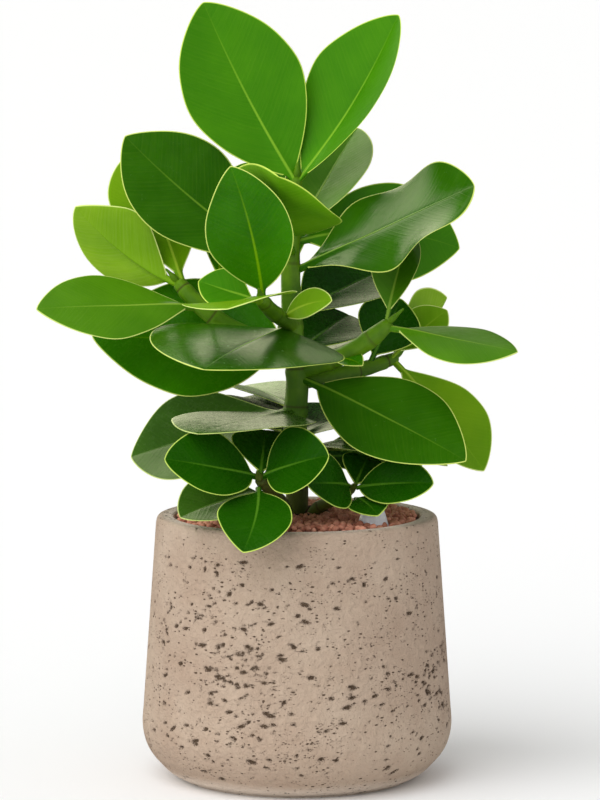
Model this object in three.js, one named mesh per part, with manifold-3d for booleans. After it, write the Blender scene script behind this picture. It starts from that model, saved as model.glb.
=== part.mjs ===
import * as THREE from 'three';
import { mergeVertices } from 'three/addons/utils/BufferGeometryUtils.js';
import Module from 'manifold-3d';

// Potted clusia: a concrete planter, a slotted culture pot, clay granules, a water gauge and the plant.
// Millimetres, +Z up. The origin is the centre of the planter's underside.

// ---- driving dimensions ----
const potHeight = 170;
const potWidestRadius = 100;
const potWidestHeight = 36;
const potRimRadius = 90.5;
const potMouthRadius = 79;
const potWall = 11.5;
const potFloor = 12;
const footRadius = 74.5;
const footHeight = 1.8;
const contactGap = 0.3;

const culturePotHeight = 138;
const culturePotTopRadius = 51;
const culturePotBaseRadius = 43;
const culturePotWall = 1.5;
const culturePotLip = 3;
const slotCount = 8;
const slotWidth = 4;

const granuleCrown = 172;
const granuleEdge = 166;

const gaugePlace = [48.2, -40];
const gaugeTubeRadius = 5.5;
const gaugeTubeBore = 4.3;
const gaugeCapRadius = 10;
const gaugeTop = 180;
const gaugeFoot = 30;
const gaugeHoodBase = granuleEdge + 1;
const gaugeHoodWall = 2;
const gaugeHoodTaper = 4;
const floatRadius = 3.4;
const floatLength = 110;
const floatRise = 6;

const rootDepth = 112;
const bladeThickness = 1.1;
const petioleThickness = 4.6;
const petioleWidth = 5.2;
const fullStalkBladeWidth = 62;

const potSegments = 40;
const fillSegments = 30;
const tubeSegments = 14;
const floatSegments = 10;
const shootSides = 8;

// ---- helpers for solids ----
const wasm = await Module();
wasm.setup();

function toSolid(geometry) {
  const bare = geometry.clone();
  bare.deleteAttribute('normal');
  bare.deleteAttribute('uv');
  const merged = mergeVertices(bare, 1e-4);
  return new wasm.Manifold(new wasm.Mesh({
    numProp: 3,
    vertProperties: new Float32Array(merged.attributes.position.array),
    triVerts: new Uint32Array(merged.index.array),
  }));
}

function toGeometry(solid) {
  const mesh = solid.getMesh();
  const geometry = new THREE.BufferGeometry();
  geometry.setAttribute('position', new THREE.BufferAttribute(new Float32Array(mesh.vertProperties), 3));
  geometry.setIndex(new THREE.BufferAttribute(new Uint32Array(mesh.triVerts), 1));
  geometry.computeVertexNormals();
  return geometry;
}

function largestBody(solid) {
  return solid.decompose().reduce((best, body) => (body.volume() > best.volume() ? body : best));
}

// A turned solid: the profile lists [radius, height] and runs anticlockwise seen with the axis on the left.
function turned(profile, segments) {
  const points = profile.map(([radius, height]) => new THREE.Vector2(radius, height));
  return new THREE.LatheGeometry(points, segments).rotateX(Math.PI / 2);
}

function arcPoints(centreRadius, centreHeight, radius, startDegrees, endDegrees, steps) {
  return Array.from({ length: steps + 1 }, (_, i) => {
    const angle = THREE.MathUtils.degToRad(startDegrees + ((endDegrees - startDegrees) * i) / steps);
    return [centreRadius + radius * Math.cos(angle), centreHeight + radius * Math.sin(angle)];
  });
}

// A closed solid through a list of rings that all have the same number of points. From the side
// numbered turnFrom on, the quads are split along their other diagonal, so that the two skins of a
// thin blade bend alike and keep their distance.
function closedLoft(rings, turnFrom = Infinity) {
  const around = rings[0].length;
  const middle = (ring) => ring.reduce((sum, p) => sum.add(p), new THREE.Vector3()).divideScalar(around);
  const points = [...rings.flat(), middle(rings[0]), middle(rings.at(-1))];
  const startCentre = points.length - 2;
  const endCentre = points.length - 1;
  const lastRing = (rings.length - 1) * around;
  const index = [];
  for (let i = 0; i < around; i += 1) {
    const next = (i + 1) % around;
    index.push(startCentre, next, i);
    index.push(endCentre, lastRing + i, lastRing + next);
    for (let ring = 0; ring < lastRing; ring += around) {
      const above = ring + around;
      if (i < turnFrom) {
        index.push(ring + i, ring + next, above + next);
        index.push(ring + i, above + next, above + i);
      } else {
        index.push(ring + i, ring + next, above + i);
        index.push(ring + next, above + next, above + i);
      }
    }
  }
  const geometry = new THREE.BufferGeometry().setFromPoints(points);
  geometry.setIndex(index);
  return geometry;
}

// ---- planter, culture pot and filling ----
function wallRadius(height) {
  const rise = (height - potWidestHeight) / (potHeight - potWidestHeight);
  return potWidestRadius + (potRimRadius - potWidestRadius) * rise;
}

function potInnerProfile(inset) {
  return [
    [potMouthRadius - inset, potHeight - 2],
    [wallRadius(48) - potWall - inset, 48],
    [wallRadius(40) - potWall - 2 - inset, 34],
    [80 - inset, 20 + inset],
    [70 - inset, potFloor + 1 + inset],
    [60, potFloor + inset],
  ];
}

function makePot() {
  const outerRound = 3.5;
  const profile = [
    [0, 0],
    [footRadius, 0],
    [footRadius, footHeight],
    [77.5, footHeight],
    [84, 5.5],
    [89.5, 11],
    [94, 16.2],
    [97.3, 22],
    [99.4, 29.5],
    [potWidestRadius, potWidestHeight],
    [wallRadius(100), 100],
    ...arcPoints(potRimRadius - outerRound, potHeight - outerRound, outerRound, 5, 90, 4),
    ...arcPoints(potMouthRadius + 2, potHeight - 2, 2, 90, 180, 3).slice(0, -1),
    ...potInnerProfile(0),
    [0, potFloor],
  ];
  return turned(profile, potSegments);
}

function culturePotRadius(height) {
  const rise = (height - potFloor) / culturePotHeight;
  return culturePotBaseRadius + (culturePotTopRadius - culturePotBaseRadius) * rise;
}

function makeCulturePot() {
  const base = potFloor + contactGap;
  const top = potFloor + culturePotHeight;
  const lipRadius = culturePotTopRadius + culturePotLip;
  const shell = toSolid(turned([
    [0, base],
    [culturePotRadius(base), base],
    [culturePotRadius(top - 4), top - 4],
    [lipRadius, top - 4],
    [lipRadius, top],
    [culturePotRadius(top) - culturePotWall, top],
    [culturePotRadius(base) - culturePotWall, base + 2],
    [0, base + 2],
  ], fillSegments));
  let cut = shell;
  for (let i = 0; i < slotCount; i += 1) {
    const angle = (2 * Math.PI * i) / slotCount;
    const slot = new THREE.BoxGeometry(16, slotWidth, 70);
    slot.translate(culturePotRadius(60), 0, 66).rotateZ(angle);
    cut = cut.subtract(toSolid(slot));
  }
  return cut;
}

function makeRootBall() {
  const base = potFloor + contactGap + 2 + contactGap;
  const top = potFloor + culturePotHeight - contactGap;
  const inset = culturePotWall + contactGap;
  return toSolid(turned([
    [0, base],
    [culturePotRadius(base) - inset, base],
    [culturePotRadius(top) - inset, top],
    [0, top],
  ], fillSegments));
}

function makeGranules() {
  const gap = contactGap + 0.1;
  const lipRadius = culturePotTopRadius + culturePotLip + gap;
  const top = potFloor + culturePotHeight;
  const outside = potInnerProfile(gap);
  outside[0] = [potMouthRadius + 0.2 - gap, granuleEdge];
  return toSolid(turned([
    [0, top + gap],
    [lipRadius, top + gap],
    [lipRadius, top - 4 - gap],
    [culturePotRadius(top - 4) + gap, top - 4 - gap],
    [culturePotRadius(potFloor) + gap, potFloor + gap],
    ...outside.reverse(),
    [60, granuleEdge + 3],
    [30, granuleCrown - 0.6],
    [0, granuleCrown],
  ], potSegments));
}

// The gauge is a tube under a tapered hood, open at its foot.
function makeGauge() {
  const gauge = turned([
    [0, gaugeTop - gaugeHoodWall],
    [gaugeTubeBore, gaugeTop - gaugeHoodWall - 1.5],
    [gaugeTubeBore, gaugeFoot],
    [gaugeTubeRadius, gaugeFoot],
    [gaugeTubeRadius, gaugeHoodBase],
    [gaugeCapRadius, gaugeHoodBase + 1],
    [gaugeCapRadius, gaugeHoodBase + 3],
    [gaugeCapRadius - gaugeHoodTaper, gaugeTop],
    [0, gaugeTop],
  ], tubeSegments);
  return gauge.translate(gaugePlace[0], gaugePlace[1], 0);
}

function makeGaugeHole() {
  const hole = turned([
    [0, gaugeFoot - contactGap],
    [gaugeTubeRadius + contactGap, gaugeFoot - contactGap],
    [gaugeTubeRadius + contactGap, gaugeHoodBase - contactGap],
    [gaugeCapRadius + contactGap, gaugeHoodBase + 1 - contactGap],
    [gaugeCapRadius + contactGap, gaugeTop],
    [0, gaugeTop],
  ], tubeSegments);
  return hole.translate(gaugePlace[0], gaugePlace[1], 0);
}

function makeFloat() {
  const base = gaugeFoot + floatRise;
  const float = turned([
    [0, base],
    [floatRadius, base],
    [floatRadius, base + floatLength],
    [0, base + floatLength],
  ], floatSegments);
  return float.translate(gaugePlace[0], gaugePlace[1], 0);
}

// ---- stems ----
// Each shoot follows its points, and its radius is given at each point.
const shoots = {
  main: {
    path: [
      [0, 2, rootDepth], [0, 0, 178], [-1, 0, 232], [0, 0, 262],
      [-3, 0, 292], [-4, 0, 330], [-2, 0, 360], [0, 0, 388],
    ],
    radii: [6, 7.2, 7.6, 7.2, 6.8, 6, 4.6, 3.6],
  },
  left: {
    path: [[-2, 0, 274], [-24, -4, 283], [-44, -6, 292], [-64, -6, 307], [-77, -1, 321]],
    radii: [5, 5.6, 5.8, 5.6, 4.4],
  },
  right: {
    path: [[2, 0, 262], [18, -4, 268], [36, -9, 277], [50, -13, 287], [60, -16, 296]],
    radii: [5, 5.6, 5.8, 5.8, 4],
  },
  back_right: {
    path: [[2, 2, 255], [24, 16, 258], [46, 30, 262], [66, 40, 268]],
    radii: [4.5, 5, 5, 3.8],
  },
  upper_front: {
    path: [[-3, -2, 292], [-8, -20, 297], [-16, -44, 305], [-23, -68, 315]],
    radii: [4.5, 4.8, 5, 4],
  },
  low_front: {
    path: [[-2, -12, 130], [-6, -18, 172], [-14, -42, 188], [-24, -69, 202]],
    radii: [3.5, 4, 4, 3.4],
  },
  low_right: {
    path: [[6, -6, 130], [10, -12, 172], [22, -24, 182], [36, -36, 192]],
    radii: [3.5, 3.8, 3.8, 3.2],
  },
};

function shootRings(shoot, spare, sides, steps) {
  const points = shoot.path.map((p) => new THREE.Vector3(...p));
  const curve = new THREE.CatmullRomCurve3(points, false, 'centripetal');
  const frames = curve.computeFrenetFrames(steps, false);
  return Array.from({ length: steps + 1 }, (_, i) => {
    const along = i / steps;
    const place = curve.getUtoTmapping(along) * (shoot.radii.length - 1);
    const before = Math.min(Math.floor(place), shoot.radii.length - 2);
    const bare = THREE.MathUtils.lerp(shoot.radii[before], shoot.radii[before + 1], place - before);
    const radius = bare + spare;
    const centre = curve.getPointAt(along);
    return Array.from({ length: sides }, (__, j) => {
      const angle = (2 * Math.PI * j) / sides;
      return centre.clone()
        .addScaledVector(frames.normals[i], radius * Math.cos(angle))
        .addScaledVector(frames.binormals[i], radius * Math.sin(angle));
    });
  });
}

function shootSolid(name, spare = 0) {
  const shoot = shoots[name];
  return toSolid(closedLoft(shootRings(shoot, spare, shootSides, 2 * (shoot.path.length - 1))));
}

const stemParts = {
  stem: ['main', 'left', 'right', 'back_right', 'upper_front'],
  low_front_stem: ['low_front'],
  low_right_stem: ['low_right'],
};

function stemSolid(names, spare = 0) {
  return names.map((name) => shootSolid(name, spare)).reduce((sum, solid) => sum.add(solid));
}

// ---- leaves ----
// from: where the stalk leaves the shoot; to: the leaf's point; face: the way its upper side looks.
// width: blade width; belly: where along the blade it is widest (0 to 1); blunt: how slowly the blade
// widens from its ends, a smaller number being rounder; fold: how far each half is raised from the
// midrib, in degrees, left then right; cup: how much more each half turns towards its margin;
// arch: how far the midrib rises above the straight line; sweep: how far it bends to its right;
// twist: turn from stalk to point; wave: height, cycles and start of the margin's ripple;
// stalk: the stalk's length.
const leafDefaults = {
  belly: 0.56, blunt: 0.78, fold: 6, cup: 12, arch: 3, sweep: 0, twist: 0, wave: [0, 1, 0], stalk: 9,
};

const leaves = {
  leaf_top_left: {
    from: [-1, 0, 384], to: [-60, 16, 498], face: [0.1, -1, 0.2],
    width: 80, fold: 5, cup: 10, arch: -3, sweep: -2, stalk: 5, blunt: 0.72, belly: 0.53,
  },
  leaf_top_right: {
    from: [1, 0, 384], to: [65, 20, 490], face: [-0.45, -0.85, 0.2],
    width: 73, fold: [8, 38], cup: 6, arch: -3, sweep: 3, stalk: 5, blunt: 0.7,
  },
  leaf_upper_front: {
    from: [-3, -2, 338], to: [-11, -96, 392], face: [0.45, 0.3, 0.85],
    width: 78, cup: 18, arch: -4, wave: [5, 1.35, 0.62], stalk: 34, belly: 0.5, blunt: 0.62,
  },
  leaf_upper_back: { from: [-2, 2, 344], to: [40, 62, 416], face: [-0.4, -0.75, 0.5], width: 60 },
  leaf_upper_left: {
    from: [-5, 0, 328], to: [-110, 6, 413], face: [-0.1, -0.9, 0.45],
    width: 70, fold: 8, sweep: -5, belly: 0.6,
  },
  leaf_upper_right: {
    from: [-3, 0, 326], to: [112, -32, 383], face: [-0.3, -0.5, 0.85],
    width: 82, fold: [2, -5], cup: [12, 6], arch: 0, sweep: -1, twist: 4, wave: [7, 1.75, 0.68], belly: 0.61, blunt: 0.62,
  },
  leaf_upper_shade: {
    from: [-3, 7, 344], to: [106, 49, 338], face: [-0.05, -0.9, 0.4],
    width: 68, sweep: -9, fold: 2, cup: 4,
  },
  leaf_middle_front: {
    from: [-3, -2, 290], to: [-57, -116, 275], face: [0.1, -0.06, 1],
    width: 130, fold: 0, cup: -6, arch: 4, belly: 0.5, wave: [4, 0.5, 0.85],
  },
  leaf_middle_back: { from: [-3, 2, 296], to: [60, 88, 322], face: [-0.1, -0.7, 0.7], width: 60 },
  leaf_middle_shade: { from: [0, 2, 272], to: [34, 68, 293], face: [-0.1, -0.8, 0.5], width: 50 },
  leaf_waist_right: {
    from: [2, -2, 258], to: [106, -62, 212], face: [0.1, -0.72, 0.68],
    width: 69, fold: 2, cup: 4, arch: 2, sweep: -1, belly: 0.5, stalk: 14,
  },
  leaf_waist_left: {
    from: [-2, 0, 282], to: [-132, 10, 284], face: [0, -0.85, 0.5],
    width: 84, fold: 2, cup: 4, belly: 0.44, arch: 0,
  },
  leaf_lower_front: {
    from: [-1, -2, 236], to: [-61, -95, 233], face: [0, 0, 1],
    width: 97, fold: 0, cup: -2, belly: 0.5, arch: 2, wave: [2.5, 0.5, 0.85],
  },
  leaf_lower_back: { from: [-1, 2, 228], to: [-36, 72, 238], face: [0.3, -0.6, 0.7], width: 52 },
  leaf_lower_left: {
    from: [-1, 0, 238], to: [-108, 25, 204], face: [-0.25, -0.65, 0.7],
    width: 74, belly: 0.62, arch: 1, cup: 4,
  },
  leaf_lower_right: { from: [0, 0, 214], to: [96, -22, 204], face: [0.1, -0.1, 1], width: 60 },
  leaf_left_outer: {
    from: [-75, -2, 318], to: [-142, 8, 368], face: [0.25, 0.85, 0.4],
    width: 56, belly: 0.52, sweep: 8,
  },
  leaf_left_back: { from: [-73, 0, 317], to: [-106, 58, 402], face: [0.2, -0.95, 0.3], width: 62 },
  leaf_left_front: {
    from: [-62, -6, 304], to: [-164, -45, 306], face: [-0.05, -0.5, 0.87],
    width: 66, arch: 2, fold: [-8, 3], cup: 4,
  },
  leaf_left_inner: {
    from: [-54, -6, 300], to: [-46, 34, 372], face: [0.3, -0.8, 0.4],
    width: 34, stalk: 26,
  },
  leaf_crest: {
    from: [-21, -62, 312], to: [-41, -84, 398], face: [-0.05, -1, 0.25],
    width: 58, fold: [4, 20], cup: 16, belly: 0.5, sweep: 3, blunt: 0.74,
  },
  leaf_crest_left: {
    from: [-20, -58, 311], to: [-62, -46, 324], face: [0.1, -0.75, 0.65],
    width: 32, cup: 4, arch: 0,
  },
  leaf_crest_front: {
    from: [-22, -64, 313], to: [-42, -132, 313.5], face: [-0.18, 0, 1],
    width: 74, cup: 2, fold: 2, wave: [2, 1, 0.3],
  },
  leaf_crest_right: {
    from: [-9, -24, 298], to: [22, -50, 312], face: [-0.2, -0.8, 0.5],
    width: 21, stalk: 4, blunt: 0.62, sweep: -2, cup: 4,
  },
  leaf_right_point: {
    from: [56, -15, 292], to: [139, -45, 279], face: [0, -0.4, 0.9],
    width: 58, fold: [-10, 0], cup: -2, arch: 1,
  },
  leaf_right_upright: {
    from: [57, -15, 294], to: [72, 8, 350], face: [-0.3, -0.9, 0.3],
    width: 41, fold: 30,
  },
  leaf_right_back: { from: [46, 30, 262], to: [68, 38, 306], face: [0, -1, 0.3], width: 44 },
  leaf_right_bract: {
    from: [22, -5, 270], to: [42, -20, 268], face: [0.2, -0.6, 0.7],
    width: 18, stalk: 4,
  },
  leaf_right_low: { from: [62, 38, 266], to: [121, 15, 196], face: [0.3, -0.7, 0.6], width: 56 },
  leaf_right_lime: { from: [63, 39, 268], to: [99, 76, 304], face: [0, 0.7, 0.6], width: 44 },
  leaf_right_olive: { from: [60, 35, 266], to: [98, 46, 298], face: [0, -0.8, 0.6], width: 30 },
  leaf_right_hanging: { from: [40, 26, 262], to: [56, 30, 215], face: [0, -0.9, 0.35], width: 48 },
  leaf_rosette_left: {
    from: [-26, -69, 203], to: [-82, -93, 217], face: [-0.1, -0.75, 0.65],
    width: 50, stalk: 3, sweep: -1, blunt: 0.62, belly: 0.5,
  },
  leaf_rosette_right: {
    from: [-21, -69, 203], to: [20, -83, 218], face: [0.1, -0.75, 0.65],
    width: 50, stalk: 3, blunt: 0.62, belly: 0.48,
  },
  leaf_rosette_front: {
    from: [-24, -73, 196], to: [-33, -122, 163], face: [0, -0.65, 0.75],
    width: 48, stalk: 5, sweep: -3, blunt: 0.68, belly: 0.52,
  },
  leaf_rosette_back: {
    from: [-23, -65, 202], to: [-20, -30, 228], face: [0, -1, 0.3],
    width: 42, stalk: 4,
  },
  leaf_rim_left: {
    from: [-16, -48, 190], to: [-73, -74, 178], face: [-0.1, -0.5, 0.85],
    width: 48, blunt: 0.62, sweep: 1,
  },
  leaf_tuft_left: {
    from: [33, -37, 193], to: [6, -66, 198], face: [0.3, -0.8, 0.5],
    width: 40, stalk: 2, blunt: 0.62, belly: 0.5,
  },
  leaf_tuft_right: {
    from: [38, -38, 192], to: [86, -55, 197], face: [0.1, -0.8, 0.55],
    width: 34, stalk: 2, blunt: 0.62, belly: 0.52,
  },
  leaf_tuft_front: {
    from: [37, -37, 185], to: [51, -60, 177], face: [0, -0.5, 0.85],
    width: 30, stalk: 3, blunt: 0.68,
  },
  leaf_tuft_back: { from: [36, -32, 190], to: [46, -4, 208], face: [0, -0.9, 0.5], width: 30, stalk: 4 },
  leaf_low_back: { from: [0, 2, 205], to: [86, 46, 202], face: [0, -0.75, 0.6], width: 40 },
  leaf_back_pale: { from: [-1, 2, 236], to: [-36, 88, 244], face: [0, 0, 1], width: 50 },
  leaf_back_tall: { from: [-3, 2, 320], to: [-34, 92, 392], face: [0.2, -0.6, 0.7], width: 62 },
  leaf_back_low: { from: [1, 2, 218], to: [44, 92, 226], face: [0, -0.3, 1], width: 54 },
  leaf_back_left: { from: [-1, 2, 222], to: [-66, 78, 222], face: [0, -0.2, 1], width: 50 },
  leaf_waist_back: { from: [1, 2, 264], to: [24, 98, 284], face: [0, -0.5, 0.85], width: 58 },
};

const bladeStations = [0.06, 0.2, 0.37, 0.54, 0.71, 0.86, 0.96];
const sectionPlaces = [[-1, 0], [-0.5, 1], [0, 1], [0.5, 1], [1, 0], [0.5, -1], [0, -1], [-0.5, -1]];
const stalkFade = 0.45;
const stalkStation = 0.6;
const tipStation = 0.995;

function pair(value) {
  return Array.isArray(value) ? value : [value, value];
}

function midrib(leaf) {
  const from = new THREE.Vector3(...leaf.from);
  const to = new THREE.Vector3(...leaf.to);
  const chord = to.clone().sub(from);
  const side = chord.clone().cross(new THREE.Vector3(...leaf.face)).normalize();
  const up = side.clone().cross(chord).normalize();
  const bend = from.clone().addScaledVector(chord, 0.5)
    .addScaledVector(up, 2 * leaf.arch)
    .addScaledVector(side, 2 * leaf.sweep);
  return new THREE.QuadraticBezierCurve3(from, bend, to);
}

// One point of the leaf's skin: along runs 0 to 1 from stalk to point, across -1 to 1 from the left
// margin to the right one, and layer is 1 on the upper side and -1 on the lower.
function leafPoint(leaf, curve, along, across, layer) {
  const tangent = curve.getTangent(along);
  const face = new THREE.Vector3(...leaf.face);
  const turn = THREE.MathUtils.degToRad(leaf.twist * (along - 0.5));
  const side = tangent.clone().cross(face).normalize().applyAxisAngle(tangent, turn);
  const up = side.clone().cross(tangent);
  const stalkShare = leaf.stalk / curve.getLength();
  const blade = THREE.MathUtils.clamp((along - stalkShare) / (1 - stalkShare), 0, 1);
  const power = Math.log(0.5) / Math.log(leaf.belly);
  const bladeHalf = (leaf.width / 2) * Math.sin(Math.PI * blade ** power) ** leaf.blunt;
  const stalkLeft = 1 - THREE.MathUtils.smoothstep(along, stalkShare, stalkShare + stalkFade);
  const sturdiness = Math.min(1, leaf.width / fullStalkBladeWidth);
  const halfWidth = Math.hypot(bladeHalf, (petioleWidth / 2) * sturdiness * stalkLeft);
  const half = across < 0 ? 0 : 1;
  const fold = THREE.MathUtils.degToRad(pair(leaf.fold)[half]);
  const cup = THREE.MathUtils.degToRad(pair(leaf.cup)[half]) + 1e-4;
  const reach = Math.abs(across);
  const out = (halfWidth * Math.sin(cup * reach)) / cup;
  const rise = (halfWidth * (1 - Math.cos(cup * reach))) / cup;
  const sideways = (out * Math.cos(fold) - rise * Math.sin(fold)) * Math.sign(across);
  const [height, cycles, start] = leaf.wave;
  const ripple = height * reach ** 2 * Math.sin(2 * Math.PI * (cycles * along + start + 0.25 * half));
  const upward = out * Math.sin(fold) + rise * Math.cos(fold) + ripple * (bladeHalf / (leaf.width / 2));
  const thickness = THREE.MathUtils.lerp(bladeThickness, petioleThickness * sturdiness, stalkLeft);
  return curve.getPoint(along)
    .addScaledVector(side, sideways)
    .addScaledVector(up, upward + (layer * thickness * Math.sqrt(1 - reach ** 2)) / 2);
}

function leafSolid(leaf) {
  const curve = midrib(leaf);
  const stalkShare = leaf.stalk / curve.getLength();
  const blade = bladeStations.map((share) => stalkShare + share * (1 - stalkShare));
  const stations = [0, stalkShare * stalkStation, ...blade, tipStation];
  const rings = stations.map((along) => (
    sectionPlaces.map(([across, layer]) => leafPoint(leaf, curve, along, across, layer))
  ));
  return toSolid(closedLoft(rings, sectionPlaces.length / 2));
}

// ---- materials ----
function finish(colour, roughness) {
  return new THREE.MeshStandardMaterial({ color: colour, roughness, metalness: 0 });
}

const concrete = finish(0xb3a08c, 0.85);
const blackPlastic = finish(0x26262a, 0.5);
const fibre = finish(0x4a3322, 0.95);
const clay = finish(0xb8674b, 0.9);
const clearPlastic = finish(0xdfe3ee, 0.2);
const redPlastic = finish(0xb3261e, 0.4);
const greenBark = finish(0x5f7f26, 0.5);
const leafGreen = finish(0x2f6b1c, 0.35);

// ---- assembly ----
const plant = new THREE.Group();

function addPiece(name, geometry, material) {
  const mesh = new THREE.Mesh(geometry, material);
  mesh.name = name;
  plant.add(mesh);
}

const wideStems = Object.values(stemParts).flat().map((name) => shootSolid(name, contactGap + 0.05));
const allWideStems = wideStems.reduce((sum, solid) => sum.add(solid));

addPiece('pot', makePot(), concrete);
addPiece('culture_pot', toGeometry(makeCulturePot()), blackPlastic);
addPiece('root_ball', toGeometry(makeRootBall().subtract(allWideStems)), fibre);
const granules = makeGranules().subtract(allWideStems).subtract(toSolid(makeGaugeHole()));
addPiece('clay_granules', toGeometry(largestBody(granules)), clay);
addPiece('water_gauge', makeGauge(), clearPlastic);
addPiece('gauge_float', makeFloat(), redPlastic);

for (const [name, parts] of Object.entries(stemParts)) {
  const earlier = Object.keys(stemParts).filter((other) => other < name);
  const others = earlier.flatMap((other) => stemParts[other]);
  let solid = stemSolid(parts);
  for (const other of others) {
    solid = solid.subtract(shootSolid(other, contactGap));
  }
  addPiece(name, toGeometry(largestBody(solid)), greenBark);
}

for (const [name, shape] of Object.entries(leaves)) {
  const leaf = { ...leafDefaults, ...shape };
  addPiece(name, toGeometry(largestBody(leafSolid(leaf).subtract(allWideStems))), leafGreen);
}

export default plant;
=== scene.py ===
import bpy
import numpy as np
from math import cos, log, pi, radians, sin
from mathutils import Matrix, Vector


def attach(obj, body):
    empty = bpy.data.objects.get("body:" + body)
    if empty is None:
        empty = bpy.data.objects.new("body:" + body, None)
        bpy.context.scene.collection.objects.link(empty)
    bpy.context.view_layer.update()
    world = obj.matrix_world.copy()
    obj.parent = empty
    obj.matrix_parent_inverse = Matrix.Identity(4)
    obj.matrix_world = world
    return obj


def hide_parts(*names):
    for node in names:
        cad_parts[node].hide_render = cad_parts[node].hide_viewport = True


# A clusia in a washed concrete planter. Sizes are in millimetres here and turned to metres in makeMesh.
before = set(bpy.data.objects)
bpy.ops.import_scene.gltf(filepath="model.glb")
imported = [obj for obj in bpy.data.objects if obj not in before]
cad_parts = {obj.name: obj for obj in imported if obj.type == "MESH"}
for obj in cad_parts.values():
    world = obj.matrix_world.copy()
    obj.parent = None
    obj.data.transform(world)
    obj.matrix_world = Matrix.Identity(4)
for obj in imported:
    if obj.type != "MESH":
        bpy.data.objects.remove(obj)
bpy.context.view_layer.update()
mm = 0.001


# ---- meshes ----
# The squares between neighbouring rows and columns of a grid; with closed the last column meets the first.
def gridFaces(rows, columns, closed=True):
    row, column = np.meshgrid(np.arange(rows - 1), np.arange(columns - (not closed)), indexing="ij")
    beside = (column + 1) % columns
    here, above = row * columns, (row + 1) * columns
    return np.stack([here + column, here + beside, above + beside, above + column], -1).reshape(-1, 4)


# The triangles that close a ring on one pole.
def fanFaces(ring, pole, outward):
    following = np.roll(ring, -1)
    parts = [ring, following] if outward else [following, ring]
    return np.stack([*parts, np.full(len(ring), pole)], -1)


# The fans at both ends of a grid of rings, whose two poles are the points that follow it.
def endFans(rows, columns):
    ring, pole = np.arange(columns), rows * columns
    return np.concatenate([fanFaces(ring, pole, False), fanFaces(ring + pole - columns, pole + 1, True)])


# A tube-like grid of rings, closed on a pole at both ends: rows x columns x 3.
def closedTube(rings, startPole, endPole):
    points = np.concatenate([rings.reshape(-1, 3), [startPole, endPole]])
    return points, gridFaces(*rings.shape[:2]), endFans(*rings.shape[:2])


# A profile of (radius, height) turned round the z axis, as rings of points.
def turned(radius, height, angle):
    height = np.broadcast_to(height, np.broadcast_shapes(height.shape, angle.shape))
    return np.stack([radius * np.sin(angle), -radius * np.cos(angle), height], -1)


# The directions of a full round, evenly spaced.
def fullTurn(count):
    return np.linspace(0, 2 * pi, count, endpoint=False)


def makeMesh(name, points, squares, triangles, attributes=None):
    mesh = bpy.data.meshes.new(name)
    corners = np.concatenate([np.ravel(squares), np.ravel(triangles)]).astype(np.int32)
    sizes = np.concatenate([np.full(len(squares), 4), np.full(len(triangles), 3)]).astype(np.int32)
    mesh.vertices.add(len(points))
    mesh.vertices.foreach_set("co", (np.asarray(points) * mm).astype(np.float32).ravel())
    mesh.loops.add(len(corners))
    mesh.loops.foreach_set("vertex_index", corners)
    mesh.polygons.add(len(sizes))
    mesh.polygons.foreach_set("loop_start", (np.cumsum(sizes) - sizes).astype(np.int32))
    mesh.update(calc_edges=True)
    mesh.validate()
    mesh.shade_smooth()
    for key, values in (attributes or {}).items():
        vector = np.ndim(values) == 2
        layer = mesh.attributes.new(key, "FLOAT_VECTOR" if vector else "FLOAT", "POINT")
        layer.data.foreach_set("vector" if vector else "value", np.asarray(values, np.float32).ravel())
    return mesh


def addPiece(mesh, material, slotName, *nodes):
    piece = bpy.data.objects.new(mesh.name, mesh)
    bpy.context.scene.collection.objects.link(piece)
    mesh.materials.append(material)
    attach(piece, "root")
    if nodes:
        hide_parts(*nodes)
    return piece


def smoothStep(low, high, x):
    t = np.clip((x - low) / (high - low), 0, 1)
    return t * t * (3 - 2 * t)


def unit(v):
    return v / np.linalg.norm(v, axis=-1, keepdims=True)


# ---- shader nodes ----
def addNode(tree, kind, inputs=None, **settings):
    made = tree.nodes.new("ShaderNode" + kind)
    for key, value in settings.items():
        setattr(made, key, value)
    for key, value in (inputs or {}).items():
        if isinstance(value, bpy.types.NodeSocket):
            tree.links.new(value, made.inputs[key])
        else:
            made.inputs[key].default_value = value
    return made


def calc(tree, operation, a, b=0.0, clamp=False):
    return addNode(tree, "Math", {0: a, 1: b}, operation=operation, use_clamp=clamp).outputs[0]


def times(tree, a, b):
    return calc(tree, "MULTIPLY", a, b)


def plus(tree, a, b):
    return calc(tree, "ADD", a, b)


def minus(tree, a, b):
    return calc(tree, "SUBTRACT", a, b)


def ramp(tree, value, low, high, outLow=0.0, outHigh=1.0):
    inputs = {"Value": value, "From Min": low, "From Max": high, "To Min": outLow, "To Max": outHigh}
    return addNode(tree, "MapRange", inputs, interpolation_type="SMOOTHSTEP").outputs["Result"]


def mixColour(tree, share, a, b, blend="MIX"):
    made = addNode(tree, "Mix", {0: share, 6: a, 7: b}, data_type="RGBA", blend_type=blend)
    return made.outputs[2]


def noise(tree, place, scale, detail=3.0, roughness=0.55, distortion=0.0):
    inputs = {"Vector": place, "Scale": scale, "Detail": detail, "Roughness": roughness}
    return addNode(tree, "TexNoise", {**inputs, "Distortion": distortion}).outputs["Fac"]


def axes(tree, vector):
    return addNode(tree, "SeparateXYZ", {0: vector}).outputs


def attribute(tree, name, output="Fac"):
    return addNode(tree, "Attribute", attribute_name=name).outputs[output]


def objectPlace(tree, scale=(1, 1, 1)):
    place = addNode(tree, "TexCoord").outputs["Object"]
    return addNode(tree, "Mapping", {"Vector": place, "Scale": scale}).outputs["Vector"]


def rgb(code):
    parts = [int(code[i:i + 2], 16) / 255 for i in (0, 2, 4)]
    return tuple(c / 12.92 if c < 0.04045 else ((c + 0.055) / 1.055) ** 2.4 for c in parts) + (1.0,)


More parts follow.
